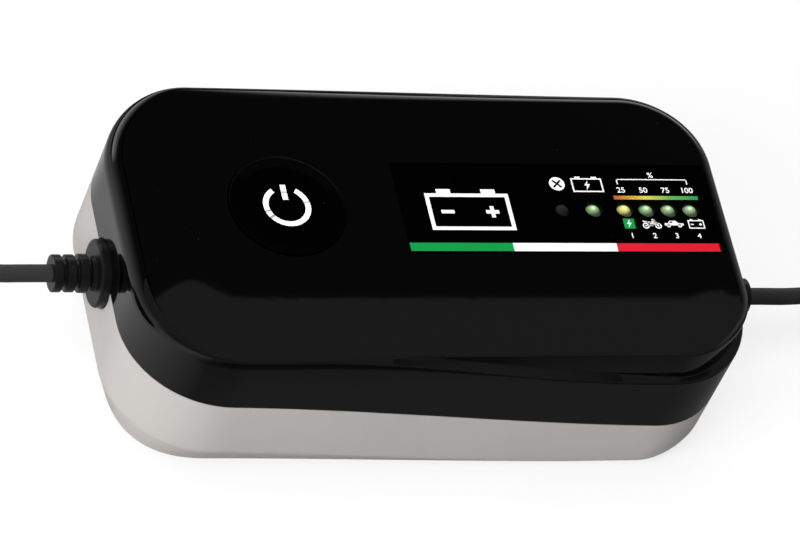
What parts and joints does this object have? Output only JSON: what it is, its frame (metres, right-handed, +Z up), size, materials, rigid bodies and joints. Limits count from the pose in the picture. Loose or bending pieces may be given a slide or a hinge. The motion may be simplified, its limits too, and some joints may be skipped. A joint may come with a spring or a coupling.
{
  "type": "car battery charger",
  "caption": "Portable car battery charger: grey base, glossy black cover with a raised panel, mode button, indicator lamps, moulded cord glands, a mains lead with plug and an output lead.",
  "frame": {"origin": "centre of the case's flat base, on the surface that the charger stands on", "axes": "+X along the case to the output end, +Y to the rear, +Z up through the control panel"},
  "size_m": [0.5375, 0.099, 0.054],
  "materials": {
    "shell": "fine texture, light warm grey",
    "cover": "glossy black with faint dust and hairlines",
    "label": "smooth black film with printed marks",
    "button": "smooth deep black cap with a printed mark",
    "rubber": "satin dark grey soft plastic",
    "cord": "satin dark grey sheath",
    "gasket": "matt",
    "inner_plastic": "moulded black",
    "lamp_off": "clear lens, unlit",
    "lamp_green": "tinted lens",
    "lamp_yellow": "tinted lens",
    "board": "solder mask",
    "steel": "plated",
    "aluminium": "mill finish",
    "ferrite": "sintered",
    "copper": "enamelled wire",
    "capacitor": "shrink sleeve",
    "capacitor_box": "moulded case",
    "nickel": "nickel plated",
    "brass": "plain brass"
  },
  "bodies": {
    "charger": {"lower_shell": "shell", "upper_cover": "cover", "cover_gasket": "gasket", "label_panel": "label", "button_guide": "inner_plastic", "tact_switch": "inner_plastic", "led_1": "lamp_off", "led_2": "lamp_green", "led_3": "lamp_yellow", "led_4": "lamp_green", "led_5": "lamp_green", "led_6": "lamp_green", "display_board": "board", "display_screws": "steel", "main_board": "board", "board_link": "inner_plastic", "transformer_core": "ferrite", "transformer_winding": "copper", "choke_core": "ferrite", "choke_winding": "copper", "x_capacitor": "capacitor_box", "line_fuse": "nickel", "bridge_rectifier": "inner_plastic", "input_capacitor": "capacitor", "output_capacitor_1": "capacitor", "output_capacitor_2": "capacitor", "heatsink_primary": "aluminium", "power_transistor": "inner_plastic", "heatsink_secondary": "aluminium", "rectifier_diode": "inner_plastic", "mains_conductors": "copper", "output_conductors": "copper", "mains_gland": "rubber", "output_gland": "rubber", "mains_cord": "cord", "mains_coil": "cord", "mains_tail": "cord", "plug_body": "rubber", "plug_pin_1": "nickel", "plug_pin_2": "nickel", "output_cord": "cord", "output_coil": "cord", "output_tail": "cord", "connector_body": "rubber", "connector_pin": "brass", "connector_socket": "brass", "case_screw_1": "steel", "case_screw_2": "steel", "case_screw_3": "steel", "case_screw_4": "steel", "board_screw_1": "steel", "board_screw_2": "steel", "board_screw_3": "steel", "board_screw_4": "steel"},
    "button": {"mode_button": "button", "switch_plunger": "inner_plastic", "button_spring": "steel"}
  },
  "joints": [
    {"name": "mode_button_press", "type": "slide", "parent": "charger", "child": "button", "axis": [0, 0, -1], "range_m": [0, 0.0008], "stiffness_N_per_m": 900, "springref_m": -0.001, "deforming": ["button_spring"]}
  ]
}
